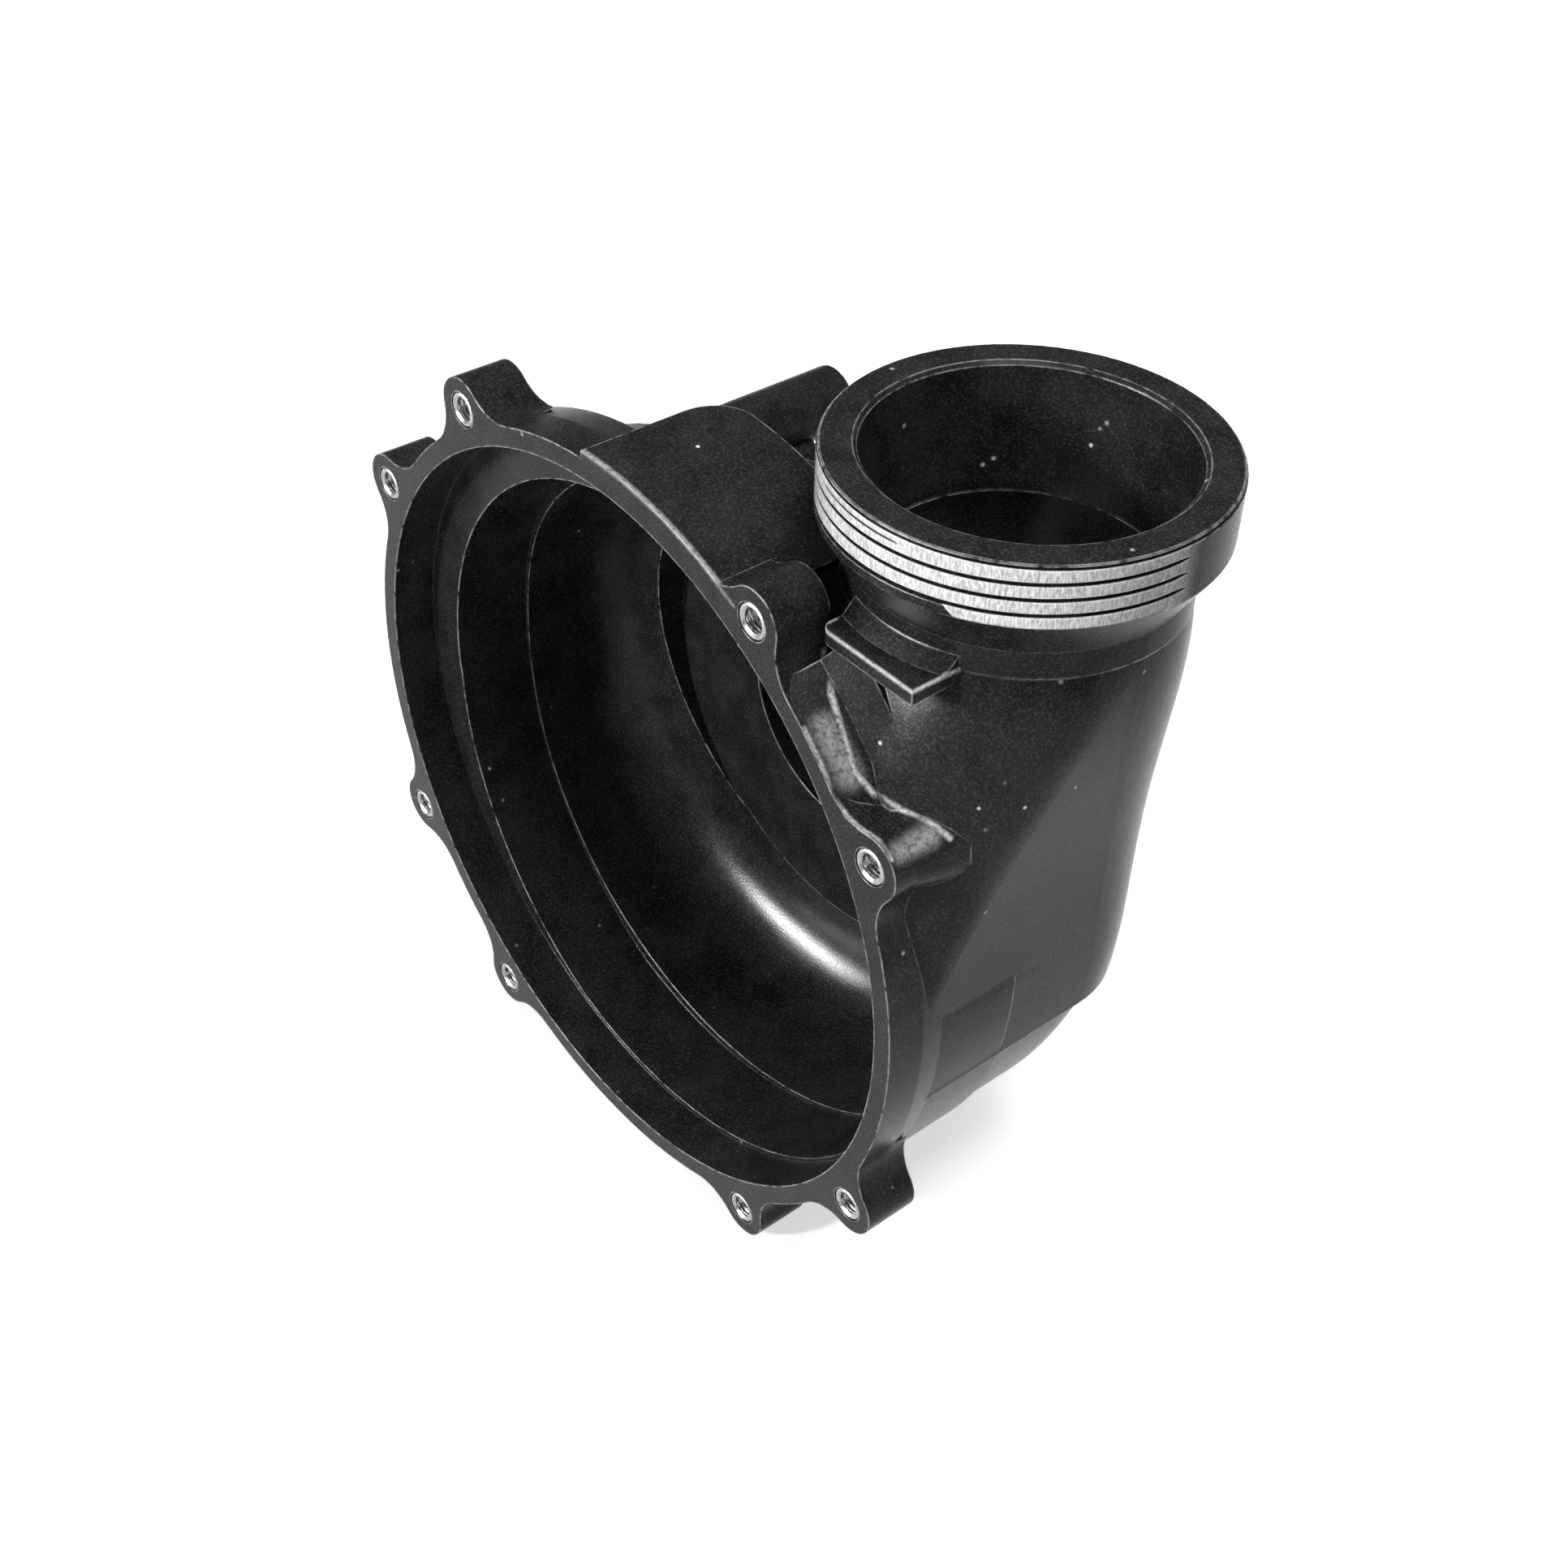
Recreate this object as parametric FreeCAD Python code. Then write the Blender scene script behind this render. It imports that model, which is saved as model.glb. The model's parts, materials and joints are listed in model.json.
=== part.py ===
import FreeCAD, Part
import math
import os

# Volute pump casing, moulded in one piece, with eight threaded metal inserts in its flange ears.
# Frame: the pump axis is Y and the open front face lies at y = 0 and looks toward -Y.
# The scroll grows counter-clockwise seen from the front, and the discharge nozzle points up (+Z).
# Angles are in degrees in the front view, from +X toward +Z. Lengths are in millimetres.

# Hub disc and suction eye
hub_r = 59.0
hub_undercut = 0.5
hub_depth = 66.0
eye_r = 29.0

# Wall of the moulding
wall = 4.5

# Scroll channel round the hub, behind the front chamber
scroll_throat = 7.0
scroll_swell = 21.5
scroll_start_r = hub_r + scroll_throat
scroll_end_r = scroll_start_r + scroll_swell
scroll_start_angle = 62.0
scroll_overlap = 3.0
scroll_lip = 0.5
scroll_start_depth = 44.0
scroll_end_depth = 80.0
scroll_start_corner = 8.0
scroll_end_corner = 24.0
scroll_front = 22.0
scroll_sections = 13

# Front chamber, which opens from the register down to the scroll
chamber_clearance = 0.1
tongue_step = 9.6
chamber_large_r = scroll_end_r + chamber_clearance
chamber_small_r = chamber_large_r - tongue_step
chamber_grow_from = 187.0
chamber_grow_to = 250.0
chamber_back = 31.0

# Tongue step of the front chamber and the throat block that stands on it
tongue_angle = 93.0
tongue_fillet = 10.0
throat_block_rise = 1.7
throat_block_from = 63.0

# Flange, its skirt and its ears
register_ledge = 1.1
flange_wall = 4.6
ear_stand = 3.7
register_r = chamber_large_r + register_ledge
register_depth = 11.0
flange_r = register_r + flange_wall
skirt_depth = 9.0
skirt_taper = 8.0
skirt_step = 1.0
skirt_lap = 0.3
bolt_circle_r = flange_r + ear_stand
ear_r = 7.2
ear_depth = 13.0
ear_fillet = 12.0
ear_pair_angles = (45.0, 135.0, 225.0, 315.0)
ear_half_angle = 15.0

# Threaded inserts
insert_r = 4.0
insert_length = 10.0
insert_thread_r = 2.6
insert_mouth = 0.5
screw_clearance = 1.5

# Discharge nozzle, set in from the flange and back from its face
nozzle_set_in = 26.4
nozzle_set_back = 16.3
nozzle_bore_r = 31.9
nozzle_mouth_wall = 2.0
nozzle_wall = 4.0
nozzle_r = nozzle_bore_r + nozzle_mouth_wall
discharge_x = flange_r - nozzle_set_in
discharge_y = nozzle_r + nozzle_set_back
discharge_top = 111.8
bore_taper_depth = 26.0
bore_chamfer = 0.8

# Union collars, without their fine thread
collar_rise = 5.5
collar_r = nozzle_r + collar_rise
collar_height = 12.9
collar_chamfer = 0.6
collar_cone = 9.0
collar_lap = 0.6

# Passage from the end of the scroll up to the neck of the nozzle
nozzle_neck = 14.9
passage_head = discharge_top - collar_height - nozzle_neck
passage_foot = 20.0
passage_overlap = 1.0
passage_margin = 0.5
passage_hub_cut = 1.5
passage_front = 3.5
passage_set_in = 1.5
passage_right = flange_r - passage_set_in
passage_screw_cover = 2.0
passage_corners = (3.0, 6.0, 25.0)
hollow_corners = (1.5, 3.0, 20.5)
passage_flat = 0.3
passage_step = 0.3

# Fillet between the rim and the passage, and the flare at the foot of the ear beside it
rim_fillet = 11.0
rim_fillet_front = 1.0
rim_fillet_angles = (28.0, 53.0)
flare_front = 4.7
flare_back = 16.5
flare_inset = 0.2
flare_widening = 2.8

# Suction nozzle at the back
suction_back = 112.0

# Rear bosses
boss_set_out = 12.0
boss_circle_r = hub_r + boss_set_out
boss_r = 8.2
boss_back = 106.0
boss_hole_r = 2.4
boss_hole_depth = 22.0
boss_web = 3.6
boss_web_step = 12.0

# Tab on the front of the discharge nozzle
tab_thickness = 3.0
tab_to_left = 9.9
tab_to_right = 15.7
tab_reach = 41.2
tab_left = discharge_x - tab_to_left
tab_right = discharge_x + tab_to_right
tab_front = discharge_y - tab_reach
tab_round = 3.0
tab_cove = 3.0

# Directions, and the overrun of a cut past the face that it opens
origin = FreeCAD.Vector(0, 0, 0)
along_x = FreeCAD.Vector(1, 0, 0)
along_y = FreeCAD.Vector(0, 1, 0)
along_z = FreeCAD.Vector(0, 0, 1)
overrun = 1.0
tiny = 0.001


def polar(angle, radius, depth=0.0):
    """Point at an angle and radius in the front view, at a depth along the pump axis."""
    turn = math.radians(angle)
    return FreeCAD.Vector(radius * math.cos(turn), depth, radius * math.sin(turn))


def mix(first, last, share):
    """Value that lies a share of the way from the first to the last."""
    return first + (last - first) * share


def round_bar(radius, front, back, centre=origin):
    """Cylinder parallel to the pump axis."""
    base = FreeCAD.Vector(centre.x, front, centre.z)
    return Part.makeCylinder(radius, back - front, base, along_y)


def arc(angle_a, radius_a, angle_b, radius_b):
    """Arc in the front view between two polar points, through their mean."""
    middle = polar((angle_a + angle_b) / 2.0, (radius_a + radius_b) / 2.0)
    return Part.Arc(polar(angle_a, radius_a), middle, polar(angle_b, radius_b)).toShape()


def extrude_outline(edges, depth):
    """Solid made by carrying a closed outline back along the pump axis."""
    return Part.Face(Part.Wire(edges)).extrude(FreeCAD.Vector(0, depth, 0))


def ear_outline(angle):
    """Ear seen from the front: a round tip that flares into the rim by two concave fillets."""
    to_rim = flange_r + ear_fillet
    to_tip = ear_r + ear_fillet
    cosine = (to_rim ** 2 + bolt_circle_r ** 2 - to_tip ** 2) / (2.0 * to_rim * bolt_circle_r)
    spread = math.degrees(math.acos(cosine))
    tip_centre = polar(angle, bolt_circle_r)
    flares = []
    ends = []
    for side in (-1.0, 1.0):
        centre = polar(angle + side * spread, to_rim)
        rim_point = polar(angle + side * spread, flange_r)
        tip_point = tip_centre + (centre - tip_centre) * (ear_r / to_tip)
        toward = (rim_point - centre) + (tip_point - centre)
        middle = centre + toward * (ear_fillet / toward.Length)
        flares.append(Part.Arc(rim_point, middle, tip_point).toShape())
        ends.append((rim_point, tip_point))
    tip = polar(angle, bolt_circle_r + ear_r)
    inner = polar(angle, register_r + flange_wall / 2.0)
    crown = Part.Arc(ends[0][1], tip, ends[1][1]).toShape()
    right = Part.makeLine(ends[1][0], inner)
    left = Part.makeLine(inner, ends[0][0])
    return [flares[0], crown, flares[1], right, left]


def ear_angles():
    """The eight ears stand in four pairs."""
    return [pair + side * ear_half_angle for pair in ear_pair_angles for side in (-1.0, 1.0)]


def flange():
    """Skirt round the open front, which tapers into the chamber, with its ears."""
    body = round_bar(flange_r, 0.0, skirt_depth)
    taper_r = flange_r - skirt_step - skirt_lap
    base = FreeCAD.Vector(0, skirt_depth, 0)
    body = body.fuse(Part.makeCone(flange_r, taper_r, skirt_taper, base, along_y))
    ears = [extrude_outline(ear_outline(angle), ear_depth) for angle in ear_angles()]
    return body.multiFuse(ears)


def chamber(small, large, crest, tongue, depth, fillet):
    """Front chamber: a small arc after the tongue, a growing arc, a large arc and a raised crest."""
    edges = [
        arc(tongue, small, chamber_grow_from, small),
        arc(chamber_grow_from, small, chamber_grow_to, large),
    ]
    if crest > large:
        edges += [
            arc(chamber_grow_to, large, 360.0 + throat_block_from, large),
            Part.makeLine(polar(throat_block_from, large), polar(throat_block_from, crest)),
            arc(throat_block_from, crest, tongue, crest),
        ]
    else:
        edges.append(arc(chamber_grow_to, large, 360.0 + tongue, large))
    edges.append(Part.makeLine(polar(tongue, crest), polar(tongue, small)))
    solid = extrude_outline(edges, depth)
    return solid.makeFillet(fillet, [edge for edge in solid.Edges if lies_on(edge, tongue, depth)])


def lies_on(edge, angle, depth):
    """Tell the radial edge at an angle and depth from all the others."""
    side = polar(angle + 90.0, 1.0)
    ends = [vertex.Point for vertex in edge.Vertexes]
    return all(abs(end.y - depth) < tiny and abs(end.dot(side)) < tiny for end in ends)


def chamber_outside():
    """Outer wall of the front chamber, with the throat block on its top beside the tongue."""
    crest = flange_r + throat_block_rise
    large = flange_r - skirt_step
    return chamber(chamber_small_r + wall, large, crest, tongue_angle, chamber_back + wall, tongue_fillet)


def chamber_hollow():
    """Hollow of the front chamber, a wall's thickness inside its outer wall at the tongue."""
    large = chamber_large_r
    tongue = tongue_angle - math.degrees(wall / large)
    return chamber(chamber_small_r, large, large, tongue, chamber_back, tongue_fillet - wall)


def scroll_end_angle():
    """Angle at which the scroll passes into the straight foot of the passage."""
    return 360.0 - math.degrees(math.asin((passage_foot - passage_overlap) / (scroll_end_r + wall)))


def chamber_radius(angle):
    """Radius of the front chamber at an angle past the tongue."""
    share = (angle - chamber_grow_from) / (chamber_grow_to - chamber_grow_from)
    return mix(chamber_small_r, chamber_large_r, min(max(share, 0.0), 1.0))


def scroll_section(angle, offset, inner_r):
    """Radial section of the scroll: an outer wall, a rounded corner and a floor."""
    share = (angle - scroll_start_angle) / (scroll_end_angle() - scroll_start_angle)
    spiral_r = mix(scroll_start_r, scroll_end_r, math.sin(min(share, 1.0) * math.pi / 2.0))
    outer_r = min(spiral_r, chamber_radius(angle) - scroll_lip) + offset
    depth = mix(scroll_start_depth, scroll_end_depth, share) + offset
    corner = mix(scroll_start_corner, scroll_end_corner, share) + offset
    bend = corner * (1.0 - math.sqrt(0.5))
    front_in = polar(angle, inner_r, scroll_front)
    front_out = polar(angle, outer_r, scroll_front)
    corner_out = polar(angle, outer_r, depth - corner)
    corner_mid = polar(angle, outer_r - bend, depth - bend)
    corner_in = polar(angle, outer_r - corner, depth)
    floor_in = polar(angle, inner_r, depth)
    edges = [
        Part.makeLine(front_in, front_out),
        Part.makeLine(front_out, corner_out),
        Part.Arc(corner_out, corner_mid, corner_in).toShape(),
        Part.makeLine(corner_in, floor_in),
        Part.makeLine(floor_in, front_in),
    ]
    return Part.Wire(edges)


def scroll(offset, inner_r, first, last):
    """Scroll between two angles, lofted through radial sections."""
    step = (last - first) / (scroll_sections - 1)
    angles = [first + index * step for index in range(scroll_sections)]
    return Part.makeLoft([scroll_section(angle, offset, inner_r) for angle in angles], True, False)


def scroll_outside():
    """Outer form of the scroll, closed by one wall at its start."""
    first = scroll_start_angle - math.degrees(wall / hub_r)
    return scroll(wall, hub_r - wall, first, scroll_end_angle())


def scroll_hollow():
    """Channel of the scroll, which runs on into the passage."""
    last = scroll_end_angle() + scroll_overlap
    return scroll(0.0, hub_r - hub_undercut, scroll_start_angle, last)


def quarter(x, y, height, radius, start):
    """Quarter circle in a level plane, counter-clockwise seen from above."""
    turns = [math.radians(start + step) for step in (0.0, 45.0, 90.0)]
    points = [FreeCAD.Vector(x + radius * math.cos(t), y + radius * math.sin(t), height) for t in turns]
    return Part.Arc(points[0], points[1], points[2]).toShape()


def level_outline(height, sides, corners):
    """Level outline with rounded corners: one radius at the left, two at the right."""
    left, right, front, back = sides
    left_r, front_r, back_r = corners
    arcs = [
        quarter(right - front_r, front + front_r, height, front_r, 270.0),
        quarter(right - back_r, back - back_r, height, back_r, 0.0),
        quarter(left + left_r, back - left_r, height, left_r, 90.0),
        quarter(left + left_r, front + left_r, height, left_r, 180.0),
    ]
    edges = []
    for index, curve in enumerate(arcs):
        following = arcs[(index + 1) % len(arcs)]
        edges.append(curve)
        edges.append(Part.makeLine(curve.valueAt(curve.LastParameter),
                                   following.valueAt(following.FirstParameter)))
    return Part.Wire(edges)


def passage(foot, foot_right, low_sides, low_corners, head_r):
    """Passage that swells from the scroll's own section to just under the round nozzle."""
    head_sides = (discharge_x - head_r, discharge_x + head_r, discharge_y - head_r, discharge_y + head_r)
    head_corner = head_r - passage_flat
    foot_sides = (low_sides[0], foot_right, low_sides[2], low_sides[3])
    wires = [level_outline(-foot, foot_sides, low_corners)]
    for share in (0.0, 0.33, 0.67, 1.0):
        sway = share ** 2 * (3.0 - 2.0 * share)
        blends = (sway, sway, share ** 3, share)
        sides = [mix(low, high, blend) for low, high, blend in zip(low_sides, head_sides, blends)]
        left_r = mix(low_corners[0], head_corner, share ** 2)
        corners = [left_r] + [mix(low, head_corner, share) for low in low_corners[1:]]
        wires.append(level_outline(passage_head * share, sides, corners))
    return Part.makeLoft(wires, True, False)


def upright_bar(radius, low, high):
    """Cylinder on the axis of the discharge nozzle."""
    return Part.makeCylinder(radius, high - low, FreeCAD.Vector(discharge_x, discharge_y, low), along_z)


def rim_filler():
    """Two bevels that fill the corner between the rim and the front of the passage."""
    first, last = rim_fillet_angles
    inner = flange_r - flange_wall / 2.0
    outer = flange_r + rim_fillet
    back = rim_fillet_front + rim_fillet
    bend = rim_fillet * math.sqrt(0.5)
    rim_point = FreeCAD.Vector(flange_r, rim_fillet_front, 0)
    middle = FreeCAD.Vector(outer - bend, rim_fillet_front + bend, 0)
    foot = FreeCAD.Vector(outer, back, 0)
    corners = [
        foot,
        FreeCAD.Vector(outer, back + rim_fillet_front, 0),
        FreeCAD.Vector(inner, back + rim_fillet_front, 0),
        FreeCAD.Vector(inner, rim_fillet_front, 0),
        rim_point,
        middle,
    ]
    section = Part.Face(Part.makePolygon(corners + [corners[0]]))
    sector = section.revolve(origin, along_y, -(last - first))
    sector.rotate(origin, along_y, -first)
    return sector


def ear_flare():
    """Cone round the foot of the first ear, which flares into the front of the passage."""
    centre = polar(ear_angles()[0], bolt_circle_r, flare_front)
    return Part.makeCone(ear_r - flare_inset, ear_r + flare_widening, flare_back - flare_front, centre, along_y)


def passage_outside():
    """Outer form of the passage, and the round nozzle up to the root of its collar."""
    foot_right = math.sqrt((scroll_end_r + wall) ** 2 - passage_foot ** 2) + passage_margin
    back = scroll_end_depth + wall + passage_margin
    sides = (hub_r - passage_hub_cut - wall, passage_right, passage_front, back)
    lower = passage(passage_foot, foot_right, sides, passage_corners, nozzle_r - passage_step)
    return lower.fuse(upright_bar(nozzle_r, passage_head, discharge_top - collar_height))


def passage_hollow():
    """Hollow of the passage, which keeps clear of the screws in the flange ears."""
    foot = passage_foot - wall
    foot_right = math.sqrt(scroll_end_r ** 2 - foot ** 2) + passage_margin
    front = insert_length + screw_clearance + passage_screw_cover
    sides = (hub_r - passage_hub_cut, passage_right - wall, front, scroll_end_depth + passage_margin)
    return passage(foot, foot_right, sides, hollow_corners, nozzle_r - nozzle_wall - passage_step)


def nozzle_hollow():
    """Hollow of the discharge nozzle: a round stretch, a taper and a chamfered mouth."""
    narrow = nozzle_r - nozzle_wall
    taper_low = discharge_top - bore_taper_depth
    taper_base = FreeCAD.Vector(discharge_x, discharge_y, taper_low)
    taper = Part.makeCone(narrow, nozzle_bore_r, bore_taper_depth, taper_base, along_z)
    mouth_base = FreeCAD.Vector(discharge_x, discharge_y, discharge_top - bore_chamfer)
    mouth_r = nozzle_bore_r + 2.0 * bore_chamfer
    mouth = Part.makeCone(nozzle_bore_r, mouth_r, 2.0 * bore_chamfer, mouth_base, along_z)
    return upright_bar(narrow, passage_head, taper_low).multiFuse([taper, mouth])


def collar(bore):
    """Union collar about Z with its mouth at z = 0: a cone, then a plain band with a chamfer."""
    slope = collar_cone / (collar_r - nozzle_r)
    foot = -collar_height - collar_cone - collar_lap * slope
    profile = [
        (bore, foot),
        (nozzle_r - collar_lap, foot),
        (collar_r, -collar_height),
        (collar_r, -collar_chamfer),
        (collar_r - collar_chamfer, 0.0),
        (bore, 0.0),
        (bore, foot),
    ]
    points = [FreeCAD.Vector(radius, 0, height) for radius, height in profile]
    return Part.Face(Part.makePolygon(points)).revolve(origin, along_z, 360.0)


def discharge_collar():
    """Collar at the mouth of the discharge nozzle."""
    part = collar(nozzle_r - nozzle_wall)
    part.translate(FreeCAD.Vector(discharge_x, discharge_y, discharge_top))
    return part


def suction_collar():
    """The same collar at the mouth of the suction nozzle."""
    part = collar(eye_r)
    part.rotate(origin, along_x, -90.0)
    part.translate(FreeCAD.Vector(0, suction_back, 0))
    return part


def front_tab():
    """Flat tab that stands forward of the discharge nozzle, with a small cove above it."""
    low = passage_head - tab_thickness
    back = discharge_y - nozzle_r / 2.0
    corner = FreeCAD.Vector(tab_left, tab_front, low)
    plate = Part.makeBox(tab_right - tab_left, back - tab_front, tab_thickness, corner)
    plate = plate.makeFillet(tab_round, [edge for edge in plate.Edges if is_tab_corner(edge)])
    centre = FreeCAD.Vector(discharge_x, discharge_y, passage_head)
    cone = Part.makeCone(nozzle_r + tab_cove, nozzle_r, tab_cove, centre, along_z)
    reach = Part.makeBox(tab_right - tab_left, back - tab_front, tab_cove + tab_thickness, corner)
    return plate.fuse(cone.common(reach))


def is_tab_corner(edge):
    """Tell the upright edge at the free left corner of the tab from all the others."""
    corner = FreeCAD.Vector(tab_left, tab_front, passage_head - tab_thickness / 2.0)
    return (edge.CenterOfMass - corner).Length < tiny


def boss_angles():
    """The four rear bosses stand between the suction nozzle and the flange."""
    return [45.0 + 90.0 * index for index in range(4)]


def rear_boss(angle):
    """Round boss behind the scroll, with the web that ties it to the suction nozzle."""
    post = round_bar(boss_r, scroll_front + wall, boss_back, polar(angle, boss_circle_r))
    web_back = boss_back - boss_web_step
    base = FreeCAD.Vector(0, hub_depth, -boss_web / 2.0)
    web = Part.makeBox(boss_circle_r, web_back - hub_depth, boss_web, base)
    web.rotate(origin, along_y, -angle)
    return post.fuse(web)


def boss_holes():
    """Pilot holes for the screws that hold the motor bracket."""
    front = boss_back - boss_hole_depth
    centres = [polar(angle, boss_circle_r) for angle in boss_angles()]
    return [round_bar(boss_hole_r, front, boss_back + overrun, centre) for centre in centres]


def insert_seats():
    """Holes for the inserts, each with clearance below it for the end of the screw."""
    holes = []
    for angle in ear_angles():
        centre = polar(angle, bolt_circle_r)
        holes.append(round_bar(insert_r, -overrun, insert_length, centre))
        holes.append(round_bar(insert_thread_r, 0.0, insert_length + screw_clearance, centre))
    return holes


def outside():
    """Everything that the moulding is made of before it is hollowed."""
    solids = [
        chamber_outside(),
        rim_filler(),
        ear_flare(),
        scroll_outside(),
        round_bar(hub_r + wall, scroll_front, hub_depth + wall),
        passage_outside(),
        round_bar(nozzle_r, hub_depth, suction_back - collar_height),
        front_tab(),
        discharge_collar(),
        suction_collar(),
    ]
    solids += [rear_boss(angle) for angle in boss_angles()]
    return flange().multiFuse(solids)


def hollows():
    """Everything that is cut out of the moulding."""
    main = [
        round_bar(register_r, -overrun, register_depth),
        chamber_hollow(),
        scroll_hollow(),
        round_bar(hub_r, 0.0, hub_depth),
        passage_hollow(),
        nozzle_hollow(),
        round_bar(eye_r, 0.0, suction_back + overrun),
    ]
    return main + insert_seats() + boss_holes()


def casing():
    """The moulding in one piece."""
    body = outside()
    for hollow in hollows():
        body = body.cut(hollow)
    return body


def threaded_insert(angle):
    """Metal bush, flush with the front face, with a countersunk mouth."""
    centre = polar(angle, bolt_circle_r)
    bush = round_bar(insert_r, 0.0, insert_length, centre)
    bore = round_bar(insert_thread_r, -overrun, insert_length + overrun, centre)
    mouth = Part.makeCone(insert_thread_r + insert_mouth, insert_thread_r, insert_mouth, centre, along_y)
    return bush.cut(bore).cut(mouth)


def export(shape, name):
    """Write one piece to its own file."""
    shape.exportStep("parts/" + name + ".step")


os.makedirs("parts", exist_ok=True)
export(casing(), "casing")
for number, angle in enumerate(ear_angles(), 1):
    export(threaded_insert(angle), "threaded_insert_" + str(number))
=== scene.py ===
import json
import math

import bmesh
import bpy
import numpy as np
from bpy.props import FloatProperty, FloatVectorProperty, PointerProperty
from mathutils import Matrix, Vector


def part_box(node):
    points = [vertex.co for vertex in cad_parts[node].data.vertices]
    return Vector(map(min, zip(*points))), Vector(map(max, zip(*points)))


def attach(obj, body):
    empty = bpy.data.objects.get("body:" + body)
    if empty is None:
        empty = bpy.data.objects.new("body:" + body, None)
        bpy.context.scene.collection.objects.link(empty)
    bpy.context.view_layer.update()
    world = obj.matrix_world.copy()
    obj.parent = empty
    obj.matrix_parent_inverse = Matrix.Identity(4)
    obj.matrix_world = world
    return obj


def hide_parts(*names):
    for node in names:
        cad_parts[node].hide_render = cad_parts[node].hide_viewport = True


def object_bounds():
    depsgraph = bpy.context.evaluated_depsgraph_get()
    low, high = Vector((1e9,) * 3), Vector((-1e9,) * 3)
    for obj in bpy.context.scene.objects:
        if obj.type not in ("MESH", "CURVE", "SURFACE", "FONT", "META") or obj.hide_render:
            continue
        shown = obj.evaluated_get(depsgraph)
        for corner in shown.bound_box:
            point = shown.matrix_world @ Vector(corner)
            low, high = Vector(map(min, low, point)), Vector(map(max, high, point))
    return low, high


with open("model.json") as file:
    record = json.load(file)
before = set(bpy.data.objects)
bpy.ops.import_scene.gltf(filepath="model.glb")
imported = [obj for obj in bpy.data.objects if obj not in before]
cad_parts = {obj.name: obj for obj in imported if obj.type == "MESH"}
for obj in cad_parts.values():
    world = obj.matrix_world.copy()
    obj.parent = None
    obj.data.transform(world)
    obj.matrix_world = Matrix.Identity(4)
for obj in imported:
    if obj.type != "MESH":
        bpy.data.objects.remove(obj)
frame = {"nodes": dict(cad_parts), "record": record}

bl_info = {
    "name": "Volute pump casing",
    "version": (1, 0, 0),
    "blender": (4, 5, 0),
    "location": "View3D > Sidebar > Pump",
    "description": "Black moulded pump casing with threaded union collars and metal inserts",
    "category": "Object",
}

CAD_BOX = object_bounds()
MM = 0.001
MOUNTS = {mount["name"]: mount for mount in frame["record"]["mounts"]}

# Grooves on the collars: the angle at which the middle one has its stated depth, their numbers, the step
# and the run-out along them, and how far their tools stand over the crests
DEPTH_ANGLE = math.radians(-50.0)
GROOVE_NUMBERS = range(-4, 5)
GROOVE_STEP = math.radians(2.0)
RUN_OUT = math.radians(5.0)
OVER_CREST = 0.4 * MM
# Short lead groove, from the start of the front sector, and the lip groove
LEAD_START = math.radians(10.0)
LEAD_SPAN = math.radians(41.0)
LEAD_WIDTH = 0.7 * MM
LEAD_CUT = 0.5 * MM
LIP_WIDTH = 0.7 * MM
LIP_CUT = 0.8 * MM

# Points of the packed mesh nearer than this are one point. Corners sharper than these angles stay sharp.
WELD_DISTANCE = 2e-6
CASING_SHARP = math.radians(30.0)
INSERT_SHARP = math.radians(40.0)

# Grid of an insert: points round it, along its thread and over its rim
INSERT_COLUMNS = 48
THREAD_ROWS = 101
RIM_ROWS = 5
INSERT_COUNT = 8

# Angles about a collar where the rubbing of its crests is strongest, and where the lowest one starts
RUBBED_MOST = math.radians(-75.0)
LOWEST_START = math.radians(-65.0)
# How far below the mouth the rubbing reaches, and how much less far before the lowest crest starts
RUBBED_DEPTH = 13.0 * MM
LOWEST_LACK = 2.5 * MM

# How strongly worn edges with their painted highlight, chips and parting lines show on the plastic, its bump
# and its specular level
EDGE_WEAR_AND_HIGHLIGHT = 0.75
CHIP_WEAR = 0.8
PARTING_SHADE = 0.7
BUMP_STRENGTH = 0.35
BUMP_HEIGHT = 0.12 * MM
SPECULAR_LEVEL = 0.055

# Picture directions of the camera, and the width of its sensor in millimetres
CAMERA_RIGHT = (0.6370, 0.7705, 0.0243)
CAMERA_UP = (-0.5046, 0.3929, 0.7688)
SENSOR_WIDTH = 36.0
# The point that the lamps face, and each lamp's place, with its width and height
LAMP_TARGET = (0.0, 0.05, 0.0)
KEY_LAMP = ((0.36, 0.0, 1.18), (0.5, 0.5))
FRONT_LAMP = ((-0.2, -1.1, 0.5), (0.09, 0.09))
STRIP_LAMP = ((-0.4, -1.1, 0.43), (0.55, 0.2))
# Colour of the floor, and the strength of its own light for the camera and in reflections
FLOOR_COLOUR = (0.85, 0.85, 0.85, 1.0)
FLOOR_GLOW = 0.6

# Marks on the moulding. A point is its angle in degrees in the front view, its radius and its depth in
# millimetres. Each painted highlight line, which lights a fillet or an edge, has its points, its reach in
# millimetres and its strength.
PAINTED_HIGHLIGHT_LINES = (
    (((54, 95, 11.5), (49, 96, 7.5), (40, 95, 5.5), (37, 96, 7), (34.5, 100, 9), (32, 105, 11.5),
      (30.5, 106, 13)), 1.0, 0.8),
    (((47, 93.3, 0.6), (42, 93.3, 0.6), (36, 95, 0.4), (33, 101.6, 0.8), (31, 104, 0.7)), 0.8, 0.7),
    (((46, 94.5, 4), (40, 94.7, 4.4)), 4.5, 0.35),
    (((31.3, 104, 3), (31.4, 105, 9.5)), 3.5, 0.4),
    (((55.8, 101.5, 13), (55.8, 101.5, 9), (45.5, 117.8, 9), (45.5, 117.8, 20)), 0.9, 0.9),
    (((93, 95, 0.4), (85, 95, 0.4), (77, 95, 0.4), (70, 95, 0.4), (63, 95, 0.4)), 1.0, 0.5),
)
NICKS = (
    (42, 99.8, 10), (30.5, 114, 38), (31, 114, 25.5), (32.6, 111, 17.6), (59.7, 112, 79), (85.5, 95, 19.4),
)
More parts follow.
